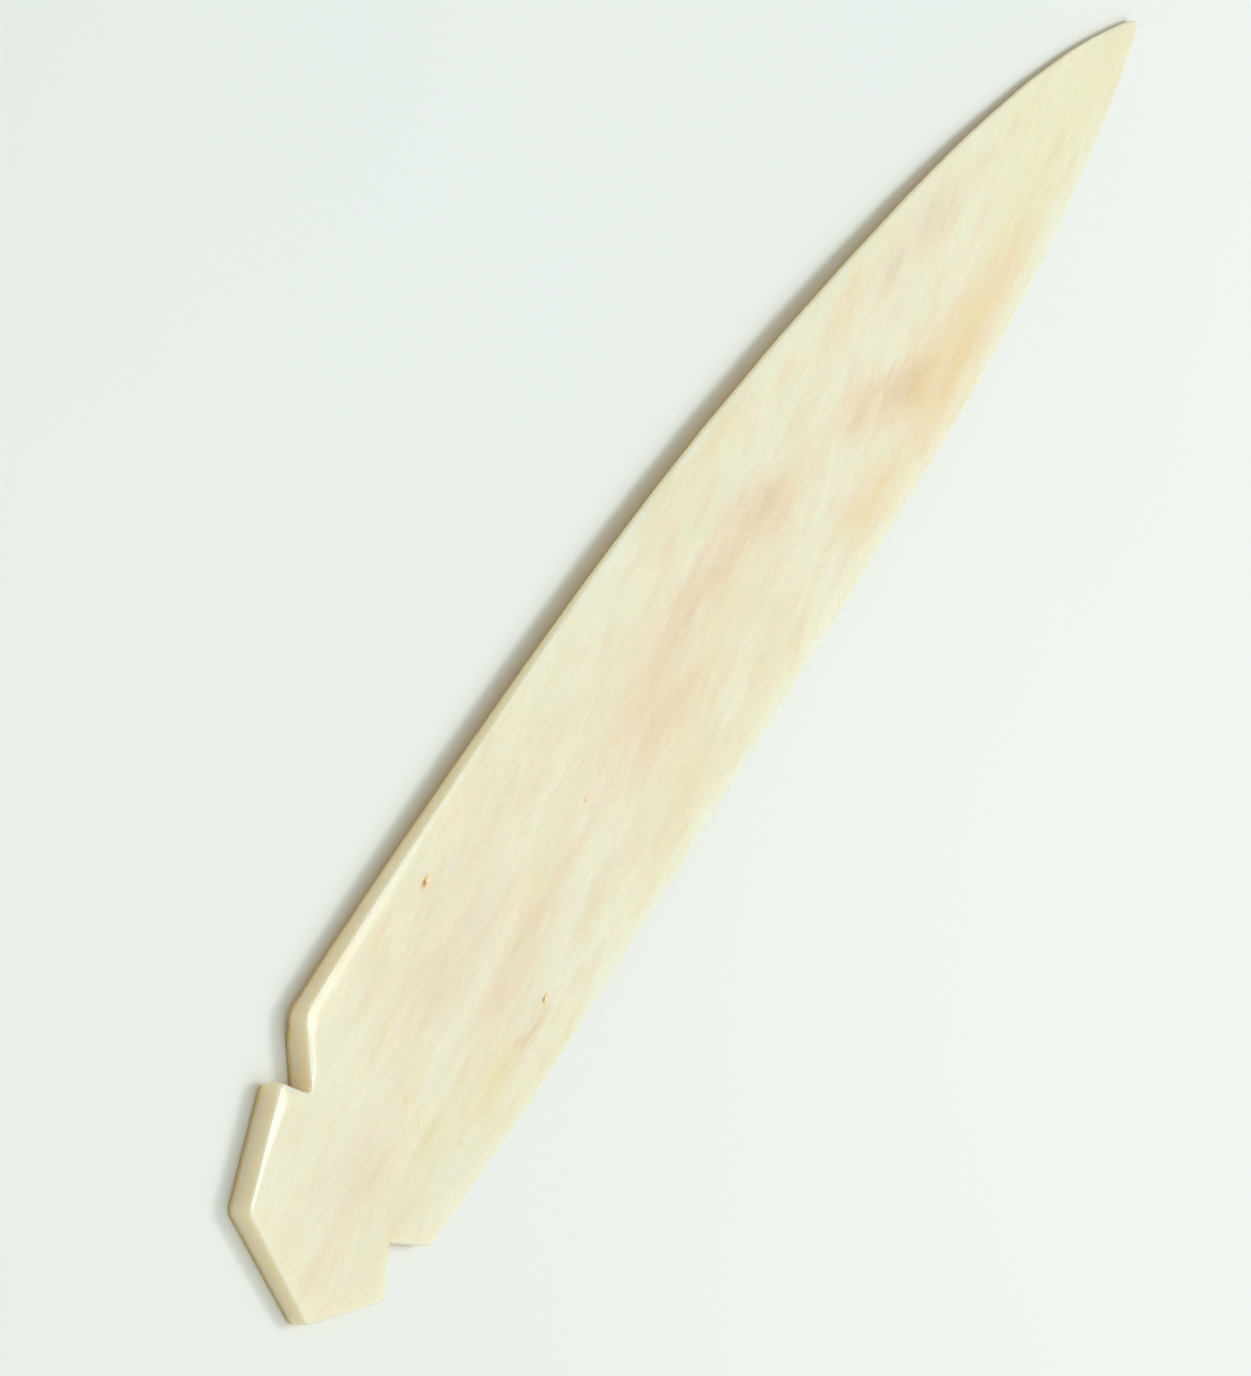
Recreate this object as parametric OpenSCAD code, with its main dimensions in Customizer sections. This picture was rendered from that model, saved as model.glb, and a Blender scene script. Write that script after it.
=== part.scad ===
// Bone folder: one plate of bone, filed to shape and polished.
// A station is a distance from the flat end of the butt, measured towards the point.
// The underside rests on z = 0, the point is towards +X and the left edge is towards +Y.
// All sizes are in millimetres.

/* [Plate] */
// Length from the flat end to the point
overall_length = 152.4; // [140:0.2:170]
// Twice the distance from the centre line to the left edge where it stands out furthest
blade_width = 23.8; // [22:0.1:26]
// Thickness along the left side of the butt
left_thickness = 2.1; // [1.7:0.05:2.6]
// Thickness along the right side of the butt
right_thickness = 1.5; // [1.4:0.05:2.6]
// Thickness of the middle of the blade
blade_thickness = 1.9; // [1.6:0.05:2.6]
// Thickness at the point
point_thickness = 0.9; // [0.8:0.05:1.4]

/* [Butt] */
// Sideways place of the butt's centre line
butt_offset = -0.9; // [-1.2:0.1:0.5]
// Width of the flat end
end_width = 9.6; // [6:0.1:14]
// Station of the two horns, where the end has flared to its full width
horn_station = 7.4; // [5:0.1:8]
// Width across the horns
horn_width = 19.8; // [16:0.1:21]
// Station of the bottom of the two notches
notch_station = 10; // [9:0.1:11]
// Width of the waist between the two notches
waist_width = 13.6; // [10:0.1:15]
// Station of the shoulders, where the blade's long edges begin
shoulder_station = 13.4; // [12.5:0.1:15]
// Sideways place of the left shoulder
left_shoulder = 10.3; // [9:0.1:11]
// Sideways place of the right shoulder, on the other side of the centre line
right_shoulder = 11.2; // [9:0.1:11.6]

/* [Blade edges] */
// Station where the left edge stands out furthest
left_widest = 60; // [50:1:64]
// Station where the right edge stands out furthest
right_widest = 29; // [22:1:35]
// How far the right edge stands out there
right_width = 11.7; // [11:0.1:12.5]
// Station where the straight run of the right edge ends
straight_end = 105; // [95:1:110]
// How far the straight run comes in towards the centre line
straight_taper = 2.6; // [1.5:0.1:3.5]
// Sideways place of the point
point_offset = -1.3; // [-1.8:0.1:0.5]
// Radius of the rounded nose at the point
nose_radius = 0.45; // [0.4:0.05:1.2]

/* [Sections] */
// Softened corner left by polishing along the butt's square walls
corner = 0.2; // [0.1:0.05:0.3]
// Width of the faint upper bevel along the left edge of the blade
left_bevel = 4; // [2:0.1:5]
// How far the left edge lies below the top face
left_drop = 0.2; // [0.1:0.05:0.5]
// Height of the left edge's lower corner where the edge begins, at the shoulder
left_start_lift = 0.6; // [0.2:0.05:0.8]
// Width of the deep lower bevel along the left edge
left_under_bevel = 3; // [2:0.1:4]
// Width of the upper bevel along the right edge of the blade
right_bevel = 2.4; // [1:0.1:3.5]
// Height of the right edge's lower corner above the underside
right_lift = 0.95; // [0.3:0.05:1]
// Width of the lower bevel along the right edge
right_under_bevel = 2.4; // [1:0.1:2.6]
// Thickness of the blade's thin edges
edge_thickness = 0.4; // [0.3:0.05:0.6]
// Station where the left wall is worked down to the thin edge
left_edge_full = 64; // [55:1:80]
// Station where the right wall is worked down to the thin edge
right_edge_full = 36; // [25:1:60]

/* [Hidden] */
bone_color = [0.925, 0.9, 0.775];
blade_steps = 64;       // sections along the blade
station_crowding = 1.3; // sections stand closer together towards the point
edge_start = 18;        // station where the walls start to thin into edges
point_run = 60;         // length over which the blade thins to the point
bevel_share = 0.34;     // most of the local width that one bevel may take
point_lift = 0.3;       // share of the right edge's lift left at the point
solver_steps = 30;
left_side = 1;
right_side = -1;

half_width = blade_width / 2;
nose_angles = [60, 30]; // the long edges stop at the first, and a flat closes the last
nose_station = overall_length - nose_radius * cos(nose_angles[1]);
blade_run = overall_length - left_widest;

// Cubic curve through its end points p[0] and p[3], drawn towards the handles p[1] and p[2]
function bezier(p, t) =
    pow(1 - t, 3) * p[0]
    + 3 * t * pow(1 - t, 2) * p[1]
    + 3 * t * t * (1 - t) * p[2]
    + t * t * t * p[3];

// Sideways place of a curve at a station, found by halving the interval of t
function curve_y(p, station, low = 0, high = 1, steps = solver_steps) =
    let (middle = (low + high) / 2, here = bezier(p, middle))
    steps == 0 ? here.y
    : here.x < station ? curve_y(p, station, middle, high, steps - 1)
    : curve_y(p, station, low, middle, steps - 1);

function mix(a, b, share) = a + (b - a) * share;
function smooth_share(value, start, end) =
    let (share = min(1, max(0, (value - start) / (end - start))))
    share * share * (3 - 2 * share);
function centred(width, side) = butt_offset + side * width / 2;
function nose_point(angle, side) =
    [nose_station, point_offset] + nose_radius * [cos(angle), side * sin(angle)];

// The long edges, each as curves that meet end to end
shoulder_left = [shoulder_station, left_shoulder];
shoulder_right = [shoulder_station, -right_shoulder];
left_rise = [
    shoulder_left,
    [mix(shoulder_station, left_widest, 0.2), mix(shoulder_left.y, half_width, 0.5)],
    [mix(shoulder_station, left_widest, 0.65), half_width],
    [left_widest, half_width]
];
left_sweep = [
    [left_widest, half_width],
    [left_widest + 0.22 * blade_run, half_width],
    [left_widest + 0.75 * blade_run, 0.74 * half_width],
    nose_point(nose_angles[0], left_side)
];
right_rise = [
    shoulder_right,
    [mix(shoulder_station, right_widest, 0.3), mix(shoulder_right.y, -right_width, 0.1)],
    [mix(shoulder_station, right_widest, 0.7), -right_width],
    [right_widest, -right_width]
];
straight_stop = [straight_end, straight_taper - right_width];
straight_slope = straight_taper / (straight_end - right_widest);
sweep_handle = 0.43 * (overall_length - straight_end);
right_sweep = [
    straight_stop,
    straight_stop + sweep_handle * [1, straight_slope],
    [overall_length - 6, -0.435 * half_width],
    nose_point(nose_angles[0], right_side)
];

function left_y(station) =
    station < left_widest ? curve_y(left_rise, station) : curve_y(left_sweep, station);
function right_y(station) =
    station < right_widest ? curve_y(right_rise, station)
    : station < straight_end
        ? mix(-right_width, straight_stop.y, (station - right_widest) / (straight_end - right_widest))
    : curve_y(right_sweep, station);

stations = [
    for (i = [1 : blade_steps])
        mix(shoulder_station, left_sweep[3].x, 1 - pow(1 - i / blade_steps, station_crowding))
];

// One side of the outline, from the flat end to the point
function butt_points(side) = [
    [0, centred(end_width, side)],
    [horn_station, centred(horn_width, side)],
    [notch_station, centred(waist_width, side)],
    side == left_side ? shoulder_left : shoulder_right
];
function blade_points(side) = [
    for (s = stations) [s, side == left_side ? left_y(s) : right_y(s)]
];
function side_points(side) =
    concat(butt_points(side), blade_points(side), [nose_point(nose_angles[1], side)]);

left_points = side_points(left_side);
right_points = side_points(right_side);
side_count = len(left_points);
outline = concat(left_points, [for (i = [side_count - 1 : -1 : 0]) right_points[i]]);
outline_count = len(outline);

function is_left(i) = i < side_count;
function side_index(i) = is_left(i) ? i : outline_count - 1 - i;
function local_width(i) = left_points[side_index(i)].y - right_points[side_index(i)].y;

// Share of the way from the butt's square wall to the blade's thin edge
function edge_share(i) =
    smooth_share(outline[i].x, edge_start, is_left(i) ? left_edge_full : right_edge_full);
function point_share(i) =
    smooth_share(outline[i].x, overall_length - point_run, overall_length);
function plate_height(i) =
    let (
        butt = is_left(i) ? left_thickness : right_thickness,
        body = mix(butt, blade_thickness, edge_share(i))
    )
    mix(body, point_thickness, point_share(i));
function worked_lift(i) =
    is_left(i) ? plate_height(i) - left_drop - edge_thickness
    : right_lift * mix(1, point_lift, point_share(i));
function start_lift(i) =
    is_left(i) && outline[i].x >= shoulder_station ? left_start_lift : corner;
function low_corner(i) = mix(start_lift(i), worked_lift(i), edge_share(i));
function high_corner(i) =
    mix(plate_height(i) - corner, low_corner(i) + edge_thickness, edge_share(i));
function bevel_limit(width, i) =
    mix(corner, min(width, bevel_share * local_width(i)), edge_share(i));
function upper_inset(i) = bevel_limit(is_left(i) ? left_bevel : right_bevel, i);
function lower_inset(i) = max(
    bevel_limit(is_left(i) ? left_under_bevel : right_under_bevel, i),
    start_lift(i)
);

// The outline moved inwards at one of its points, by a distance from both its edges
function unit(v) = v / norm(v);
function inward(a, b) = let (d = unit(b - a)) [d.y, -d.x];
function inset(i, distance) =
    let (
        before = outline[(i + outline_count - 1) % outline_count],
        after = outline[(i + 1) % outline_count],
        n1 = inward(before, outline[i]),
        n2 = inward(outline[i], after)
    )
    outline[i] + distance * (n1 + n2) / (1 + n1 * n2);

function level(distances, heights) = [
    for (i = [0 : outline_count - 1])
        let (p = inset(i, distances[i])) [p.x - overall_length / 2, p.y, heights[i]]
];
each_point = [0 : outline_count - 1];
levels = [
    level([for (i = each_point) lower_inset(i)], [for (i = each_point) 0]),
    level([for (i = each_point) 0], [for (i = each_point) low_corner(i)]),
    level([for (i = each_point) 0], [for (i = each_point) high_corner(i)]),
    level([for (i = each_point) upper_inset(i)], [for (i = each_point) plate_height(i)])
];
top_level = len(levels) - 1;

// Faces between two levels run round the outline; each end face is a ladder across it
function wall_faces(k) = [
    for (i = each_point)
        let (a = k * outline_count + i, b = k * outline_count + (i + 1) % outline_count)
            each [[a, b, b + outline_count], [a, b + outline_count, a + outline_count]]
];
function ladder_faces(k) = [
    for (i = [0 : side_count - 2])
        let (
            start = k * outline_count,
            left = start + i,
            right = start + outline_count - 1 - i
        )
        each [[left, left + 1, right - 1], [left, right - 1, right]]
];
function turned(faces) = [for (f = faces) [f[2], f[1], f[0]]];

module folder_blade() {
    color(bone_color)
        polyhedron(
            points = [for (l = levels) each l],
            faces = concat(
                turned(ladder_faces(0)),
                [for (k = [0 : top_level - 1]) each wall_faces(k)],
                ladder_faces(top_level)
            )
        );
}

folder_blade();
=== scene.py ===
"""Looks of the bone folder: one worked mesh of polished bone on a pale table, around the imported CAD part."""

import math

import bpy
import numpy as np
from mathutils import Matrix, Vector, noise
from mathutils.geometry import delaunay_2d_cdt


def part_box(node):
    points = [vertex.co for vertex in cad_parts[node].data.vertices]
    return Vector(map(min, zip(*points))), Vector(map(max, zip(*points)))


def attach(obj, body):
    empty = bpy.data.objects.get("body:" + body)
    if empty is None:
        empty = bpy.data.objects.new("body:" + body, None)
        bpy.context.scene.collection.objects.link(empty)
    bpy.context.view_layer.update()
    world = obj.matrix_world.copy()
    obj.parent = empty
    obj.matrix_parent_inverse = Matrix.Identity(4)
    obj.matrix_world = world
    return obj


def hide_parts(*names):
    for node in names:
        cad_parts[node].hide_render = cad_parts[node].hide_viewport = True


MM = 0.001
LEFT, RIGHT, BUTT = 0, 1, 2

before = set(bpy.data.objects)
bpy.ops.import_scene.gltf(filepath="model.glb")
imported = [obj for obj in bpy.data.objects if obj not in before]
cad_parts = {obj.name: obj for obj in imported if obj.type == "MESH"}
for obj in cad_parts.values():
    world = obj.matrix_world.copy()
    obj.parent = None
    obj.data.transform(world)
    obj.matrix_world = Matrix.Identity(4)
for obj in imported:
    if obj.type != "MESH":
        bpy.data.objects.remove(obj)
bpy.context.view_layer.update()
node_low, node_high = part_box("folder_blade")

# ---------------------------------------------------------------- sizes, in millimetres
# A station is a distance from the flat end of the butt, measured towards the point, as in the CAD part.
# HALF_WIDTH is how far the left edge stands out from the centre line at its widest.
LENGTH = (node_high.x - node_low.x) / MM
HALF_WIDTH = node_high.y / MM
TOP_HEIGHT = node_high.z / MM

LEFT_WIDEST = 60
RIGHT_WIDEST = 29
RIGHT_WIDTH = 11.7
STRAIGHT_END = 105
STRAIGHT_TAPER = 2.65
POINT_OFFSET = -1.3
NOSE_RADIUS = 0.5
NOSE_ANGLES = (60, 30, 0, -30, -60)

BLADE_THICKNESS = 1.9
RIGHT_THICKNESS = 1.5
POINT_THICKNESS = 0.9
POINT_RUN = 60

# The butt's corners: station, sideways place, radius of the worn corner
END_LEFT = (-0.4, 4.3, 0.6)
HORN_LEFT = (7.7, 8.45, 0.7)
NOTCH_LEFT = (9.6, 5.75, 0.6)
SHOULDER_LEFT = (12.5, 10.2, 0.9)
END_RIGHT = (-0.3, -5.8, 0.5)
HORN_RIGHT = (7.1, -10.5, 0.35)
NOTCH_RIGHT = (9.95, -7.65, 0.3)
SHOULDER_RIGHT = (13.4, -11.2, 0.3)

# Upper edges. A pair is a width and a depth.
FILED_WIDTH = 0.75
FILED_SLOPE = 0.18
EDGE_LINE_WIDTH = 0.14
ARRIS_WIDTH = 0.28
ARRIS_SLOPE = 0.19
LEFT_CROWN = (4.5, 0.16)
RIGHT_CROWN_START = (0.4, 0.05)
RIGHT_CROWN = (2.6, 0.34)
RIGHT_ARRIS = (0.35, 0.15)

# Lower edges. A lift is the height of an edge's lower corner, and a lip is what is left from there to the
# flat top. A bevel is a pair of widths, at the two ends of its run.
BEVEL_NARROWS_BELOW = 9
SHOULDER_LIFT = 0.45
LEFT_LIP = 0.62
LEFT_BEVEL = (1.4, 3.2)
RIGHT_SHOULDER_LIFT = 0.16
RIGHT_LIP = 0.95
RIGHT_BEVEL = (0.5, 2.4)
WORN_REACH = 3.5
WORN_DEPTH = 0.25
BUTT_FOOT = (0.35, 0.14)

# First and last stations of the runs over which the butt's section changes to the blade's
PLATE_RUN = (14, 60)
FILED_RUN = (14, 48)
LEFT_CROWN_RUN = (36, 70)
LEFT_LIFT_RUN = (12, 62)
LEFT_BEVEL_RUN = (14, 50)
RIGHT_RUN = (12, 36)

# Mesh
OUTLINE_STEP = 0.28
RING_DISTANCES = (0.06, 0.14, 0.25, 0.4, 0.6, 0.85, 1.15, 1.5, 1.9, 2.4, 3.0)
GRID_STEP = 0.5
WALL_ROWS = 5
WALL_BULGE = 0.04
HORN_BULGE = 0.25
TABLE_GAP = 0.015
WANDER_MIDDLE = 0.03
LONG_WANDER = 0.04
SHORT_WANDER = 0.02

# Pits where a blood vessel ran through the bone: station, sideways place, half length, half width, depth
PITS = (
    (28.3, 8.4, 0.5, 0.26, 0.10),
    (34.1, -6.8, 0.34, 0.2, 0.08),
    (46.9, 0.7, 0.2, 0.12, 0.05),
    (48.6, 2.9, 0.22, 0.1, 0.04),
    (17.3, -1.5, 0.5, 0.3, 0.015),
)


def smooth_share(value, start, end):
    """0 before start, 1 after end, and an S curve between them."""
    share = np.clip((value - start) / (end - start), 0, 1)
    return share * share * (3 - 2 * share)


def mix(a, b, share):
    return a + (b - a) * share


# ---------------------------------------------------------------- camera
def make_camera():
    """The photograph's viewing angle: low, from the left side and the butt's end, through a long lens."""
    target = Vector((-18, 2, 0)) * MM
    distance = 0.42
    tilt, turn, roll = (math.radians(a) for a in (55.53, 36.05, 87.17))
    back = Vector((-math.sin(tilt) * math.cos(turn), math.sin(tilt) * math.sin(turn), math.cos(tilt)))
    level_right = (-back).cross(Vector((0, 0, 1))).normalized()
    level_up = level_right.cross(-back)
    right = math.cos(roll) * level_right + math.sin(roll) * level_up
    up = math.cos(roll) * level_up - math.sin(roll) * level_right

    data = bpy.data.cameras.new("camera")
    data.lens = 153.5
    data.sensor_width = 36
    data.clip_start, data.clip_end = 0.01, 20
    camera = bpy.data.objects.new("camera", data)
    bpy.context.scene.collection.objects.link(camera)
    camera.matrix_world = Matrix.Translation(target + distance * back) @ Matrix(
        (right, up, back)
    ).transposed().to_4x4()
    bpy.context.scene.camera = camera


# ---------------------------------------------------------------- outline
def cubic(points, count):
    """count points along a cubic curve, without its first point."""
    p = np.array(points, float)
    t = np.linspace(0, 1, count + 1)[1:, None]
    return (1 - t) ** 3 * p[0] + 3 * t * (1 - t) ** 2 * p[1] + 3 * t * t * (1 - t) * p[2] + t ** 3 * p[3]


def worn_corner(before, corner, after):
    """A corner rounded off over its own radius, as a short curve from one edge to the next."""
    p, radius = np.array(corner[:2]), corner[2]
    neighbours = (np.array(before[:2]), np.array(after[:2]))
    ends = [p + radius * (q - p) / np.linalg.norm(q - p) for q in neighbours]
    t = np.linspace(0, 1, 7)[:, None]
    return (1 - t) ** 2 * ends[0] + 2 * t * (1 - t) * p + t * t * ends[1]


def nose_point(angle):
    nose_station = LENGTH - NOSE_RADIUS
    a = math.radians(angle)
    return np.array((nose_station + NOSE_RADIUS * math.cos(a), POINT_OFFSET + NOSE_RADIUS * math.sin(a)))


def right_flank():
    """The right edge of the blade, from the shoulder to the nose: a rise, a straight run and a sweep."""
    start = SHOULDER_RIGHT[:2]
    widest = RIGHT_WIDTH
    stop = np.array((STRAIGHT_END, STRAIGHT_TAPER - widest))
    slope = STRAIGHT_TAPER / (STRAIGHT_END - RIGHT_WIDEST)
    handle = 0.43 * (LENGTH - STRAIGHT_END)
    rise = cubic((
        start,
        (mix(start[0], RIGHT_WIDEST, 0.3), mix(start[1], -widest, 0.1)),
        (mix(start[0], RIGHT_WIDEST, 0.7), -widest),
        (RIGHT_WIDEST, -widest),
    ), 60)
    sweep = cubic((
        stop,
        stop + handle * np.array((1, slope)),
        (LENGTH - 6, -0.435 * HALF_WIDTH),
        nose_point(NOSE_ANGLES[-1]),
    ), 160)
    return np.vstack((rise, stop, sweep))


def left_flank():
    """The left edge of the blade, from the nose back to the shoulder."""
    end = SHOULDER_LEFT[:2]
    run = LENGTH - LEFT_WIDEST
    sweep = cubic((
        nose_point(NOSE_ANGLES[0]),
        (LEFT_WIDEST + 0.75 * run, 0.74 * HALF_WIDTH),
        (LEFT_WIDEST + 0.22 * run, HALF_WIDTH),
        (LEFT_WIDEST, HALF_WIDTH),
    ), 300)
    rise = cubic((
        (LEFT_WIDEST, HALF_WIDTH),
        (mix(end[0], LEFT_WIDEST, 0.65), HALF_WIDTH),
        (mix(end[0], LEFT_WIDEST, 0.2), mix(end[1], HALF_WIDTH, 0.5)),
        end,
    ), 120)
    return np.vstack((sweep, rise))


def resampled(points, step):
    """Points spaced evenly along an open line, with its first point and without its last."""
    lengths = np.concatenate(([0], np.cumsum(np.linalg.norm(np.diff(points, axis=0), axis=1))))
    count = max(1, round(lengths[-1] / step))
    at = np.linspace(0, lengths[-1], count + 1)[:-1]
    return np.column_stack([np.interp(at, lengths, points[:, k]) for k in (0, 1)])


def outline():
    """The closed outline, anticlockwise, and the group (left, right or butt) that each point belongs to."""
    right, left = right_flank(), left_flank()
    right_corner = worn_corner(NOTCH_RIGHT, SHOULDER_RIGHT, right[12])
    left_corner = worn_corner(left[-16], SHOULDER_LEFT, NOTCH_LEFT)
    right = right[right[:, 0] > right_corner[-1, 0]]
    left = left[left[:, 0] > left_corner[0, 0]]
    nose = np.array([nose_point(a) for a in reversed(NOSE_ANGLES)])
    butt = np.vstack([
        worn_corner(SHOULDER_LEFT, NOTCH_LEFT, HORN_LEFT),
        worn_corner(NOTCH_LEFT, HORN_LEFT, END_LEFT),
        worn_corner(HORN_LEFT, END_LEFT, END_RIGHT),
        worn_corner(END_LEFT, END_RIGHT, HORN_RIGHT),
        worn_corner(END_RIGHT, HORN_RIGHT, NOTCH_RIGHT),
        worn_corner(HORN_RIGHT, NOTCH_RIGHT, SHOULDER_RIGHT),
        right_corner,
    ])
    runs = (
        (RIGHT, np.vstack((butt[-1:], right, nose[:3]))),
        (LEFT, np.vstack((nose[2:], left, left_corner))),
        (BUTT, np.vstack((left_corner[-1:], butt))),
    )
    parts = [(group, resampled(points, OUTLINE_STEP)) for group, points in runs]
    return np.vstack([p for _, p in parts]), np.concatenate([np.full(len(p), g) for g, p in parts])


def hand_filed(points):
    """The outline with the slight wander that a file leaves, always inwards, and its inward directions."""
    ahead, behind = np.roll(points, -1, axis=0), np.roll(points, 1, axis=0)
    along = (ahead - behind) / np.linalg.norm(ahead - behind, axis=1)[:, None]
    inward = np.column_stack((-along[:, 1], along[:, 0]))
    wander = [
        WANDER_MIDDLE
        + LONG_WANDER * noise.noise(Vector((s * 0.16, y * 0.16, 3.1)))
        + SHORT_WANDER * noise.noise(Vector((s * 0.7, y * 0.7, 8.4)))
        for s, y in points
    ]
    return points + inward * (WALL_BULGE + np.array(wander)[:, None]), inward


# ---------------------------------------------------------------- heights
def distance_to(points, line):
    """The distance of each point to the nearest of a line's points, with the line's segments filled in."""
    starts, ends = line[:-1], line[1:]
    spans = ends - starts
    squares = (spans ** 2).sum(1) + 1e-12
    nearest = np.full(len(points), np.inf)
    for first in range(0, len(points), 2000):
        p = points[first:first + 2000, None, :]
        t = np.clip(((p - starts) * spans).sum(2) / squares, 0, 1)
        gap = p - starts - t[..., None] * spans
        nearest[first:first + 2000] = np.sqrt((gap ** 2).sum(2).min(1))
    return nearest


def distance_from(points, corner):
    return np.hypot(points[:, 0] - corner[0], points[:, 1] - corner[1])


def waves(points, size, seed, stretch=1.0):
    """Smooth noise over the plate. size is the length of a wave, longer along the plate by stretch."""
    return np.array([noise.noise(Vector((s / size / stretch, y / size, seed))) for s, y in points])


class Sections:
    """Heights of the plate's upper and lower faces, from the distances to its three runs of edge."""

    def __init__(self, points, groups):
        closed = np.vstack((points, points[:1]))
        spans = [np.flatnonzero(groups == g) for g in (LEFT, RIGHT, BUTT)]
        self.lines = [closed[at[0]:at[-1] + 2] for at in spans]

    @staticmethod
    def fall(distance, width, depth, power):
        """How far a face falls away towards one edge."""
        return depth * (1 - np.clip(distance / width, 0, 1)) ** power

    @staticmethod
    def blended(falls):
        """The largest of several falls, with soft changes from one to the next."""
        return sum(f ** 4 for f in falls) ** 0.25

    def heights(self, points):
        s = points[:, 0]
        d_left, d_right, d_butt = (distance_to(points, line) for line in self.lines)
        narrow = np.minimum(1, (d_left + d_right) / BEVEL_NARROWS_BELOW)
        to_point = smooth_share(s, LENGTH - POINT_RUN, LENGTH)
        plate = self.plate(s, points[:, 1], to_point)
        upper = plate - self.blended((
            self.left_crown(s, d_left, narrow),
            self.right_crown(s, d_right, narrow),
            self.butt_arris(points, d_butt),
        ))
        worn = self.fall(distance_from(points, SHOULDER_LEFT), WORN_REACH, WORN_DEPTH, 1.5)
        lower = self.blended((
            self.left_undercut(points, d_left, plate, narrow),
            self.right_undercut(s, d_right, plate, narrow),
            self.fall(d_butt, BUTT_FOOT[0], BUTT_FOOT[1] + worn, 2),
        ))
        return upper, lower

    @staticmethod
    def plate(s, y, to_point):
        """Height of the flat top. The butt is thicker on its left, and the blade thins to the point."""
        across = np.clip((y - HORN_RIGHT[1]) / (HORN_LEFT[1] - HORN_RIGHT[1]), 0, 1)
        butt = mix(RIGHT_THICKNESS, TOP_HEIGHT, across)
        return mix(mix(butt, BLADE_THICKNESS, smooth_share(s, *PLATE_RUN)), POINT_THICKNESS, to_point)

    def left_crown(self, s, distance, narrow):
        """A filed slope behind the shoulder, which narrows to a crisp edge, and a faint crown further on."""
        width = mix(FILED_WIDTH, EDGE_LINE_WIDTH, smooth_share(s, *FILED_RUN))
        slope = self.fall(distance, width, FILED_SLOPE * width, 1.1)
        depth = LEFT_CROWN[1] * smooth_share(s, *LEFT_CROWN_RUN)
        return slope + self.fall(distance, LEFT_CROWN[0] * narrow, depth, 2)

    def right_crown(self, s, distance, narrow):
        """A worn upper edge all along, and a broader bevel along the blade."""
        along = smooth_share(s, *RIGHT_RUN)
        width, depth = (mix(a, b, along) for a, b in zip(RIGHT_CROWN_START, RIGHT_CROWN))
        return self.fall(distance, *RIGHT_ARRIS, 2) + self.fall(distance, width * narrow, depth, 2)

    def butt_arris(self, points, distance):
        """The butt's worn upper edge: widest at the left horn, a thin line elsewhere, crisp in the notch."""
        from_horn = distance_from(points, HORN_LEFT)
        width = mix(FILED_WIDTH, ARRIS_WIDTH, smooth_share(from_horn, 0.5, 8))
        width = width * mix(0.3, 1, smooth_share(distance_from(points, NOTCH_LEFT), 0.3, 2))
        return self.fall(distance, width, ARRIS_SLOPE * width, 1.15)

    def left_undercut(self, points, distance, plate, narrow):
        """The deep lower bevel that leaves a thin edge close under the top face."""
        s = points[:, 0]
        start, end = LEFT_LIFT_RUN
        lift = mix(SHOULDER_LIFT, plate - LEFT_LIP, np.clip((s - start) / (end - start), 0, 1))
        width = mix(*LEFT_BEVEL, smooth_share(s, *LEFT_BEVEL_RUN))
        return self.fall(distance, width * narrow, lift, 1.2)

    def right_undercut(self, s, distance, plate, narrow):
        """The shallower lower bevel on the right."""
        along = smooth_share(s, *RIGHT_RUN)
        lift = mix(RIGHT_SHOULDER_LIFT, plate - RIGHT_LIP, along)
        return self.fall(distance, mix(*RIGHT_BEVEL, along) * narrow, lift, 1.2)


def pit_depth(points):
    depth = np.zeros(len(points))
    for station, offset, half_length, half_width, deep in PITS:
        r2 = ((points[:, 0] - station) / half_length) ** 2 + ((points[:, 1] - offset) / half_width) ** 2
        depth += deep * np.exp(-1.6 * r2)
    return depth


# ---------------------------------------------------------------- mesh
def ring_points(points, inward):
    """Rows of points that follow the outline inside it, close together where the face falls away."""
    closed = np.vstack((points, points[:1]))
    rows = []
    for distance in RING_DISTANCES:
        row = points + distance * inward
        keep = distance_to(row, closed) > 0.96 * distance
        step = 1 if distance < 0.7 else 2
        rows.append(row[keep][::step])
    return rows


def grid_points(points):
    """A staggered grid over the middle of the plate."""
    closed = np.vstack((points, points[:1]))
    rows = np.arange(-HALF_WIDTH, HALF_WIDTH, GRID_STEP * math.sqrt(3) / 2)
    grid = np.array([
        (s, y)
        for k, y in enumerate(rows)
        for s in np.arange(0.5 + 0.5 * GRID_STEP * (k % 2), LENGTH, GRID_STEP)
    ])
    return grid[inside(grid, closed) & (distance_to(grid, closed) > RING_DISTANCES[-1] + 0.3)]


def inside(points, closed):
    """Which points lie within a closed line, by counting crossings."""
    within = np.zeros(len(points), bool)
    for (x0, y0), (x1, y1) in zip(closed[:-1], closed[1:]):
        if y0 != y1:
            crosses = (y0 > points[:, 1]) != (y1 > points[:, 1])
            within ^= crosses & (points[:, 0] < x0 + (points[:, 1] - y0) * (x1 - x0) / (y1 - y0))
    return within


def pit_points():
    """Close rings of points around each pit, so that its hollow is real geometry."""
    rows = []
    for station, offset, half_length, half_width, _ in PITS:
        for scale, count in ((0, 1), (0.3, 8), (0.6, 12), (0.95, 18), (1.35, 22), (1.9, 26)):
            angles = np.arange(count) * 2 * math.pi / count + scale
            rows.append(np.column_stack((
                station + scale * half_length * np.cos(angles),
                offset + scale * half_width * np.sin(angles),
            )))
    return np.vstack(rows)


def without_close(points, others, gap):
    """points, less those nearer than gap to any of others."""
    apart = np.ones(len(points), bool)
    for other in others:
        apart &= ((points - other) ** 2).sum(1) > gap * gap
    return points[apart]


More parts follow.
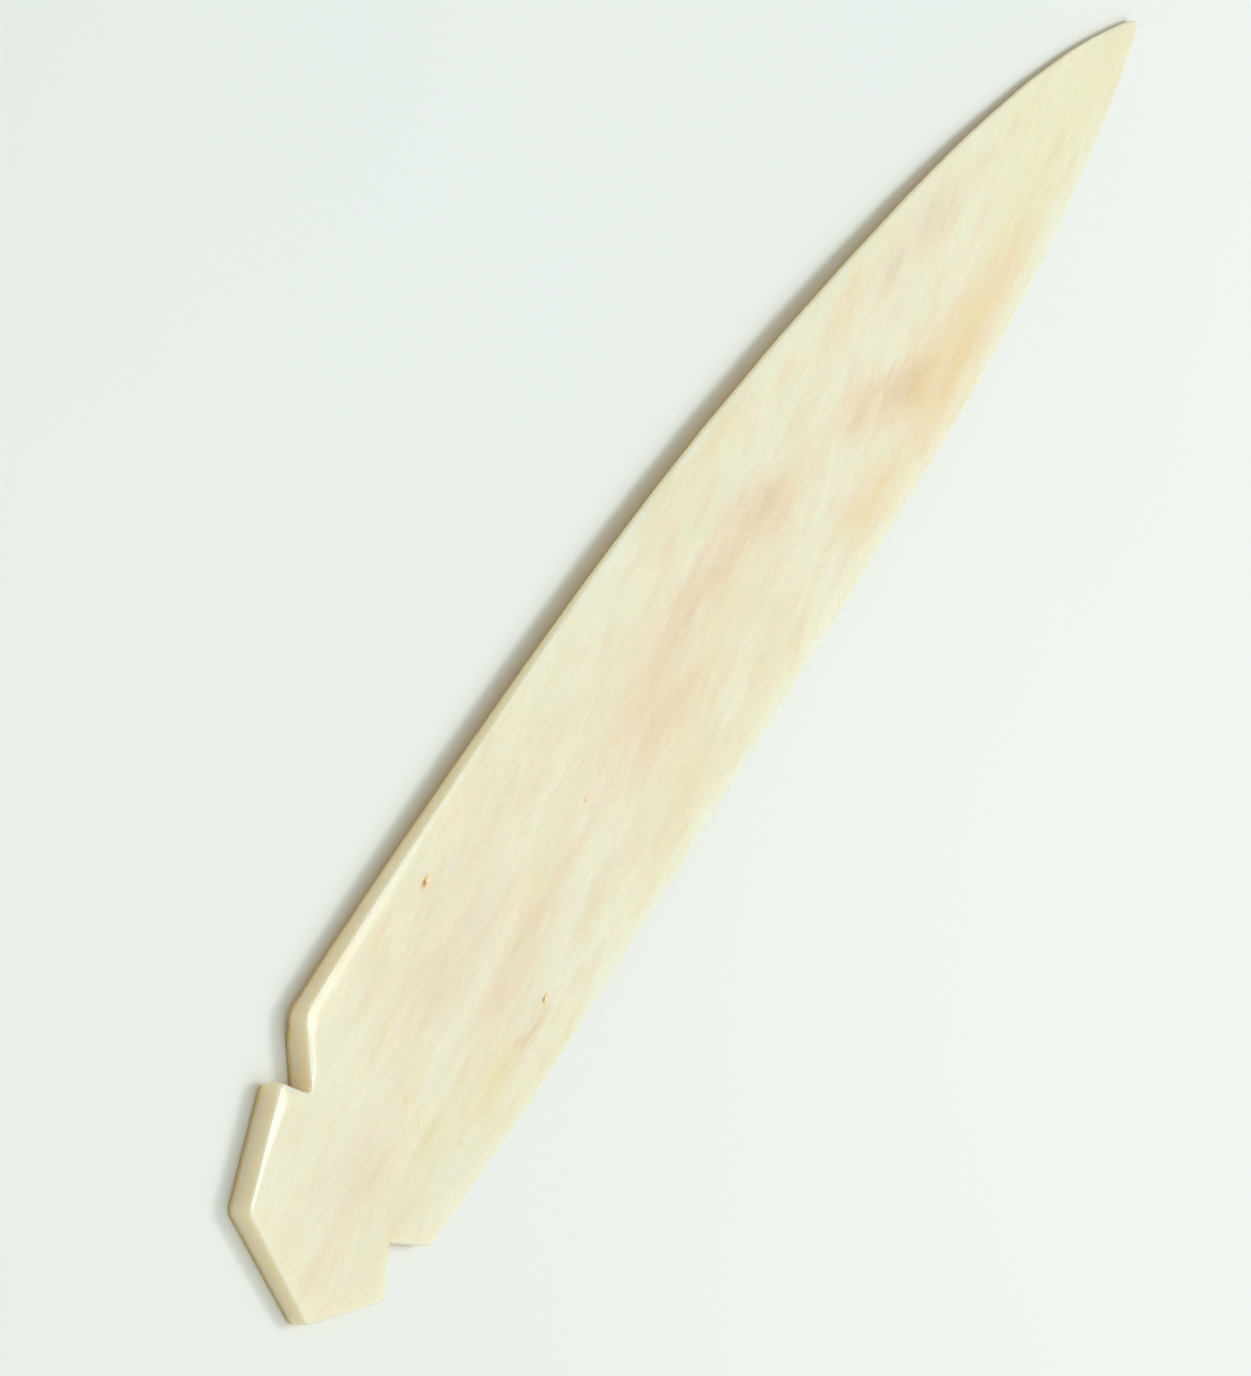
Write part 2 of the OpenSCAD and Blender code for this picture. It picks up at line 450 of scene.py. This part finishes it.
def build_folder():
    """The whole plate as one closed mesh: two worked faces joined by a slightly rounded wall."""
    drawn, groups = outline()
    edge, inward = hand_filed(drawn)
    pits = pit_points()
    inner = np.vstack((*ring_points(edge, inward), grid_points(edge)))
    inner = np.vstack((without_close(inner, pits, 0.12), pits))
    flat = np.vstack((edge, inner))
    count = len(edge)
    loop = [(i, (i + 1) % count) for i in range(count)]
    corners, _, triangles, sources, _, _ = delaunay_2d_cdt(
        [Vector(p) for p in flat.tolist()], loop, [], 1, 1e-6
    )
    places = np.array([tuple(p) for p in corners])
    made_from = {source: i for i, found in enumerate(sources) for source in found}
    rim = [made_from[i] for i in range(count)]

    sections = Sections(edge, groups)
    upper, lower = sections.heights(places)
    upper += 0.012 * waves(places, 5, 1.7, 2.5) + 0.005 * waves(places, 1.6, 5.2, 2) - pit_depth(places)
    upper = np.minimum(upper, TOP_HEIGHT)
    lower += TABLE_GAP + 0.008 * np.maximum(0, waves(places, 6, 9.3, 2))

    def metres(flat_places, heights):
        return np.column_stack((flat_places[:, 0] - LENGTH / 2, flat_places[:, 1], heights)) * MM

    near_horn = 1 - smooth_share(distance_from(edge, HORN_LEFT), 0, 2)
    bulge = (WALL_BULGE + HORN_BULGE * near_horn)[:, None]
    total = len(places)
    vertices = [metres(places, upper), metres(places, lower)]
    faces = [tuple(t) for t in triangles] + [tuple(total + i for i in reversed(t)) for t in triangles]
    rows = [[total + i for i in rim]]
    for k in range(1, WALL_ROWS):
        share = k / WALL_ROWS
        swell = bulge * math.sin(math.pi * share)
        heights = mix(lower[rim], upper[rim], share)
        rows.append([2 * total + (k - 1) * count + i for i in range(count)])
        vertices.append(metres(edge - inward * swell, heights))
    rows.append(rim)
    for below, above in zip(rows[:-1], rows[1:]):
        for i in range(count):
            j = (i + 1) % count
            faces.append((below[i], below[j], above[j], above[i]))

    mesh = bpy.data.meshes.new("bone_folder")
    mesh.from_pydata(np.vstack(vertices).tolist(), [], faces)
    mesh.validate()
    mesh.shade_smooth()
    folder = bpy.data.objects.new("bone_folder", mesh)
    bpy.context.scene.collection.objects.link(folder)
    return folder


# ---------------------------------------------------------------- material helpers
class Nodes:
    """Short calls that add nodes to a material and link them."""

    def __init__(self, name):
        self.material = bpy.data.materials.new(name)
        self.material.use_nodes = True
        self.tree = self.material.node_tree
        self.tree.nodes.clear()

    def add(self, kind, settings=None, **inputs):
        node = self.tree.nodes.new(kind)
        for key, value in (settings or {}).items():
            setattr(node, key, value)
        for key, value in inputs.items():
            self.set(node, key.replace("_", " "), value)
        return node

    def set(self, node, key, value):
        socket = node.inputs[int(key)] if key.isdigit() else node.inputs[key]
        if isinstance(value, bpy.types.NodeSocket):
            self.tree.links.new(value, socket)
        else:
            socket.default_value = value

    def math(self, operation, a, b=0.0, clamp=False):
        node = self.add("ShaderNodeMath", {"operation": operation, "use_clamp": clamp})
        self.set(node, "0", a)
        self.set(node, "1", b)
        return node.outputs[0]

    def mapped(self, value, low, high, to_low=0.0, to_high=1.0, smooth=True):
        kind = "SMOOTHSTEP" if smooth else "LINEAR"
        node = self.add("ShaderNodeMapRange", {"interpolation_type": kind})
        keys = ("Value", "From Min", "From Max", "To Min", "To Max")
        for key, v in zip(keys, (value, low, high, to_low, to_high)):
            self.set(node, key, v)
        return node.outputs["Result"]

    def mixed(self, share, a, b, blend="MIX"):
        node = self.add("ShaderNodeMix", {"data_type": "RGBA", "blend_type": blend})
        self.set(node, "0", share)
        self.set(node, "6", a)
        self.set(node, "7", b)
        return node.outputs[2]

    def placed(self, vector, location=(0, 0, 0), turn=0.0, scale=(1, 1, 1)):
        """The vector seen from a place, turned and measured in units of scale."""
        node = self.add("ShaderNodeMapping", {"vector_type": "TEXTURE"})
        self.set(node, "Vector", vector)
        self.set(node, "Location", location)
        self.set(node, "Rotation", (0, 0, turn))
        self.set(node, "Scale", scale)
        return node.outputs[0]

    def noise(self, vector, scale=1.0, detail=3.0, roughness=0.55, distortion=0.0):
        node = self.add("ShaderNodeTexNoise")
        for key, v in zip(("Vector", "Scale", "Detail", "Roughness", "Distortion"),
                          (vector, scale, detail, roughness, distortion)):
            self.set(node, key, v)
        return node.outputs["Fac"]


def colour(red, green, blue):
    """A colour from its usual 0 to 255 values."""
    def linear(v):
        v /= 255
        return v / 12.92 if v <= 0.04045 else ((v + 0.055) / 1.055) ** 2.4
    return (linear(red), linear(green), linear(blue), 1.0)


# ---------------------------------------------------------------- bone
FIBRE_TURN = math.radians(9)
# How far light spreads inside the bone, in millimetres: in the thick butt, and in the thin point
BUTT_SPREAD = 1.7
POINT_SPREAD = 0.5

CREAM = colour(253, 234, 203)
LIGHT_CREAM = colour(254, 240, 215)
DARK_STREAK = colour(234, 210, 172)
LIGHT_STREAK = colour(255, 246, 226)
FINE_STREAK = colour(214, 205, 170)
PORE = colour(188, 176, 140)
PIT_RIM = colour(236, 196, 108)
PIT_CORE = colour(160, 118, 48)
# Painted shade and glow: walls and bevels are tinted warmer and darker than the top, as shade and light
# passing through the bone make them look
WALL_SHADE_AND_GLOW = colour(234, 216, 178)
# Painted glow: all that faces down is tinted amber, so that its bounce warms the shadow beside the left edge
# as light through the bone would
UNDERSIDE_GLOW_TINT = colour(247, 200, 112)

# Stains in the bone, and two kinds of painted light: a painted highlight along the right edge and painted
# shade along the left margin. Each row: station, sideways place, half length, half width, turn in degrees,
# strength, colour
TAN = colour(226, 205, 168)
AMBER = colour(240, 215, 158)
BROWN = colour(228, 202, 158)
YELLOW = colour(240, 226, 158)
GREY = colour(214, 212, 188)
PALE = colour(246, 240, 216)
GREEN = colour(229, 228, 170)
# Painted highlight: a bright pale band along the right edge, for the light its crown reflects and lets through
PAINTED_RIGHT_HIGHLIGHT = colour(255, 249, 226)
# Painted shade and sheen: a greyer band along the left margin, where the turned crown faces away from the main
# light
MARGIN_SHADE_AND_SHEEN = colour(244, 243, 222)
TIP = colour(255, 245, 213)
STAINS_AND_PAINTED_LIGHT = (
    (68, 3.3, 15, 2.7, 2, 0.55, TAN),
    (56, -0.5, 11, 3.2, -6, 0.45, TAN),
    (80, 2.1, 6, 3.0, -8, 0.5, TAN),
    (40, -1.1, 7, 1.4, 2, 0.25, TAN),
    (96, -0.1, 7, 2.7, -18, 0.6, BROWN),
    (102, -2.5, 6, 2.2, -14, 0.6, BROWN),
    (91, -5.5, 6, 2.2, 0, 0.5, AMBER),
    (108, -4.7, 14, 3.4, 2, 0.62, AMBER),
    (120, -3.7, 12, 3.2, 2, 0.45, AMBER),
    (130, -0.9, 10, 3.2, 4, 0.32, YELLOW),
    (142, -1.1, 8, 2.4, 2, 0.15, YELLOW),
    (106, 2.3, 14, 1.6, -2, 0.7, PALE),
    (93, 3.7, 10, 1.8, -2, 0.4, PALE),
    (28, 2.3, 12, 3.0, 3, 0.35, GREY),
    (33, -2.8, 10, 3.0, 3, 0.25, GREY),
    (10, -1.8, 7, 3.4, 8, 0.3, GREY),
    (112, 5.3, 14, 2.0, -6, 0.4, GREY),
    (26, -7.3, 4, 2.0, 6, 0.5, GREEN),
    (18, -5.7, 3, 2.2, 10, 0.4, GREEN),
    (31, -7.6, 4, 0.8, 4, 0.5, BROWN),
    # Painted shade and sheen along the left margin
    (100, 9.3, 42, 2.4, -6, 0.4, MARGIN_SHADE_AND_SHEEN),
    (134, 0.5, 24, 8.0, 0, 0.55, TIP),
    # Painted highlight along the right edge
    (62, -10.3, 44, 2.0, 2, 0.9, PAINTED_RIGHT_HIGHLIGHT),
    (126, -6.6, 26, 1.6, 9, 0.7, PAINTED_RIGHT_HIGHLIGHT),
)


def bone_colour(n, point, fibre):
    """Cream bone with soft clouds, stains, long fibre streaks, short pores and the brown rims of the pits,
    with a painted highlight and painted shade along the edges, and painted shade and glow on the walls and
    underside.
    """
    clouds = n.noise(n.placed(fibre, scale=(16, 5, 5)), detail=2)
    tone = n.mixed(n.mapped(clouds, 0.3, 0.7), CREAM, LIGHT_CREAM)

    warp = n.add("ShaderNodeTexNoise", {"noise_dimensions": "3D"})
    n.set(warp, "Vector", n.placed(fibre, scale=(8, 2.6, 2.6)))
    n.set(warp, "Detail", 2.5)
    shift = n.add("ShaderNodeVectorMath", {"operation": "MULTIPLY_ADD"})
    n.set(shift, "0", warp.outputs["Color"])
    n.set(shift, "1", (4.0, 1.6, 0.0))
    n.set(shift, "2", point)
    centred = n.add("ShaderNodeVectorMath", {"operation": "SUBTRACT"})
    n.set(centred, "0", shift.outputs[0])
    n.set(centred, "1", (2.0, 0.8, 0.0))
    blotchy = n.noise(n.placed(fibre, scale=(6, 1.6, 1.6)), detail=2.5, roughness=0.5)
    patchy = n.mapped(blotchy, 0.3, 0.68, 0.5, 1.2)
    for station, offset, half_length, half_width, turn, strength, patch_colour in STAINS_AND_PAINTED_LIGHT:
        seen = n.placed(
            centred.outputs[0],
            (station - LENGTH / 2, offset, 0),
            math.radians(turn),
            (half_length, half_width, 1000),
        )
        reach = n.add("ShaderNodeVectorMath", {"operation": "LENGTH"})
        n.set(reach, "0", seen)
        soft = n.mapped(reach.outputs["Value"], 0.15, 1.25, strength, 0.0)
        tone = n.mixed(n.math("MULTIPLY", soft, patchy, clamp=True), tone, patch_colour)

    streaks = n.noise(n.placed(fibre, scale=(6, 1.1, 1.1)), detail=2, roughness=0.5)
    tone = n.mixed(n.mapped(streaks, 0.45, 0.8, 0.0, 0.36), tone, DARK_STREAK)
    tone = n.mixed(n.mapped(streaks, 0.5, 0.2, 0.0, 0.12), tone, LIGHT_STREAK)
    fine = n.noise(n.placed(fibre, scale=(2.2, 0.16, 0.16)), detail=3, roughness=0.6)
    tone = n.mixed(n.mapped(fine, 0.52, 0.8, 0.0, 0.22), tone, FINE_STREAK)

    pores = n.add("ShaderNodeTexVoronoi", {"feature": "F1"})
    n.set(pores, "Vector", n.placed(fibre, scale=(1.5, 0.42, 0.42)))
    n.set(pores, "Scale", 1.0)
    spots = n.mapped(pores.outputs["Distance"], 0.05, 0.16, 1.0, 0.0)
    sparse = n.mapped(n.noise(n.placed(fibre, location=(7, 3, 0), scale=(9, 3, 3)), detail=1), 0.5, 0.66)
    tone = n.mixed(n.math("MULTIPLY", n.math("MULTIPLY", spots, sparse), 0.35), tone, PORE)
    return painted_wall_and_underside_light(n, pit_rims(n, point, tone))


def pit_rims(n, point, tone):
    """The pits' orange-brown rims and dark cores."""
    for station, offset, half_length, half_width, depth in PITS:
        strong = min(1.0, depth / 0.08)
        seen = n.placed(point, (station - LENGTH / 2, offset, 0), FIBRE_TURN, (half_length, half_width, 1000))
        reach = n.add("ShaderNodeVectorMath", {"operation": "LENGTH"})
        n.set(reach, "0", seen)
        rim = n.mapped(reach.outputs["Value"], 0.4, 2.2, 0.75 * strong, 0.0)
        core = n.mapped(reach.outputs["Value"], 0.1, 0.75, 0.9 * strong, 0.0)
        tone = n.mixed(rim, tone, PIT_RIM)
        tone = n.mixed(core, tone, PIT_CORE)
    return tone


def upward(n):
    """How far the surface faces up: 1 on the flat top, 0 on upright walls, less than 0 below."""
    facing = n.add("ShaderNodeSeparateXYZ")
    n.set(facing, "0", n.add("ShaderNodeTexCoord").outputs["Normal"])
    return facing.outputs["Z"]


def painted_wall_and_underside_light(n, tone):
    """Painted light: walls and bevels get a warmer, darker colour for their shade and for light glowing
    through the bone, and all that faces down gets amber, so that its bounce warms the shadow beside the edge.
    """
    facing = upward(n)
    # Painted shade and glow on the walls and bevels
    shaded_walls = n.mixed(n.mapped(facing, 0.85, 0.2, 0.0, 0.6), tone, WALL_SHADE_AND_GLOW)
    # Painted glow: the amber underside, whose bounce warms the shadow beside the edge
    return n.mixed(n.mapped(facing, -0.05, -0.4, 0.0, 0.8), shaded_walls, UNDERSIDE_GLOW_TINT)


def bone_material():
    """Polished bone."""
    n = Nodes("polished_bone")
    where = n.add("ShaderNodeTexCoord")
    scaled = n.add("ShaderNodeVectorMath", {"operation": "SCALE"})
    n.set(scaled, "0", where.outputs["Object"])
    n.set(scaled, "Scale", 1 / MM)
    point = scaled.outputs[0]
    fibre = n.placed(point, turn=FIBRE_TURN)
    base = bone_colour(n, point, fibre)

    wear = n.noise(n.placed(fibre, scale=(7, 2.5, 2.5)), detail=4)
    scuffs = n.noise(n.placed(point, turn=math.radians(52), scale=(3.5, 0.07, 0.07)), detail=2)
    gloss = n.mapped(wear, 0.3, 0.7, 0.16, 0.3)
    gloss = n.math("ADD", gloss, n.mapped(scuffs, 0.62, 0.8, 0.0, 0.12))

    worked = n.mapped(upward(n), 0.998, 0.985, 0.3, 1.3)
    chatter = n.noise(n.placed(fibre, scale=(0.5, 0.16, 0.16)), detail=3, roughness=0.65)
    grain = n.noise(n.placed(fibre, scale=(3.0, 0.14, 0.14)), detail=3, roughness=0.6)
    ripple = n.noise(n.placed(fibre, scale=(2.2, 0.9, 0.9)), detail=4, roughness=0.6)
    files = n.noise(n.placed(point, turn=math.radians(-64), scale=(4, 0.09, 0.09)), detail=2)
    height = n.math("ADD", n.math("MULTIPLY", grain, 0.3), ripple)
    height = n.math("ADD", height, n.math("MULTIPLY", files, 0.2))
    height = n.math("ADD", height, n.math("MULTIPLY", chatter, worked))
    bump = n.add("ShaderNodeBump", {}, Strength=0.7, Distance=0.02 * MM, Height=height)

    shader = n.add("ShaderNodeBsdfPrincipled")
    n.set(shader, "Base Color", base)
    n.set(shader, "Roughness", gloss)
    n.set(shader, "Normal", bump.outputs[0])
    n.set(shader, "IOR", 1.54)
    n.set(shader, "Subsurface Weight", 1.0)
    n.set(shader, "Subsurface Radius", (1.0, 0.85, 0.55))
    along = n.add("ShaderNodeSeparateXYZ")
    n.set(along, "0", point)
    spread = n.mapped(along.outputs["X"], -10, LENGTH / 2, BUTT_SPREAD * MM, POINT_SPREAD * MM)
    n.set(shader, "Subsurface Scale", spread)
    out = n.add("ShaderNodeOutputMaterial")
    n.set(out, "Surface", shader.outputs[0])
    return n.material


# ---------------------------------------------------------------- stage
def table_material():
    """A smooth pale table top."""
    n = Nodes("pale_table")
    where = n.add("ShaderNodeTexCoord")
    mottle = n.noise(where.outputs["Object"], scale=9, detail=3)
    tone = n.mixed(n.mapped(mottle, 0.3, 0.7), colour(238, 243, 240), colour(241, 245, 240))
    shader = n.add("ShaderNodeBsdfPrincipled")
    n.set(shader, "Base Color", tone)
    n.set(shader, "Roughness", 0.55)
    out = n.add("ShaderNodeOutputMaterial")
    n.set(out, "Surface", shader.outputs[0])
    return n.material


def make_table():
    """The flat table top, wide enough to fill every view."""
    reach = 6.0
    mesh = bpy.data.meshes.new("table_top")
    corners = [(x * reach, y * reach, 0) for x, y in ((-1, -1), (1, -1), (1, 1), (-1, 1))]
    mesh.from_pydata(corners, [], [(0, 1, 2, 3)])
    table = bpy.data.objects.new("table_top", mesh)
    bpy.context.scene.collection.objects.link(table)
    mesh.materials.append(table_material())


def area_light(name, bearing, elevation, distance, width, height, power, tint):
    """A soft rectangular light that faces the folder. Its bearing is measured from +X towards +Y."""
    a, e = math.radians(bearing), math.radians(elevation)
    way = Vector((math.cos(a) * math.cos(e), math.sin(a) * math.cos(e), math.sin(e)))
    data = bpy.data.lights.new(name, "AREA")
    data.shape = "RECTANGLE"
    data.size, data.size_y = width, height
    data.energy = power
    data.color = tint
    light = bpy.data.objects.new(name, data)
    bpy.context.scene.collection.objects.link(light)
    light.location = way * distance
    light.rotation_mode = "QUATERNION"
    light.rotation_quaternion = way.to_track_quat("Z", "Y")


def make_lights():
    """A small key light, a broad fill light and a pale room."""
    area_light(
        "key_light", bearing=-37, elevation=57, distance=0.68,
        width=0.19, height=0.19, power=1.05, tint=(1, 0.99, 0.96),
    )
    area_light(
        "fill_light", bearing=-88, elevation=63, distance=0.6,
        width=0.7, height=0.55, power=1.0, tint=(0.99, 1, 0.98),
    )
    world = bpy.data.worlds.new("room")
    bpy.context.scene.world = world
    world.use_nodes = True
    background = world.node_tree.nodes["Background"]
    background.inputs["Color"].default_value = (0.91, 0.955, 0.935, 1)
    background.inputs["Strength"].default_value = 0.63
    bpy.context.scene.view_settings.view_transform = "Standard"


# ---------------------------------------------------------------- build
make_camera()
folder = build_folder()
folder.data.materials.append(bone_material())
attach(folder, "root")
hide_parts("folder_blade")
make_table()
make_lights()
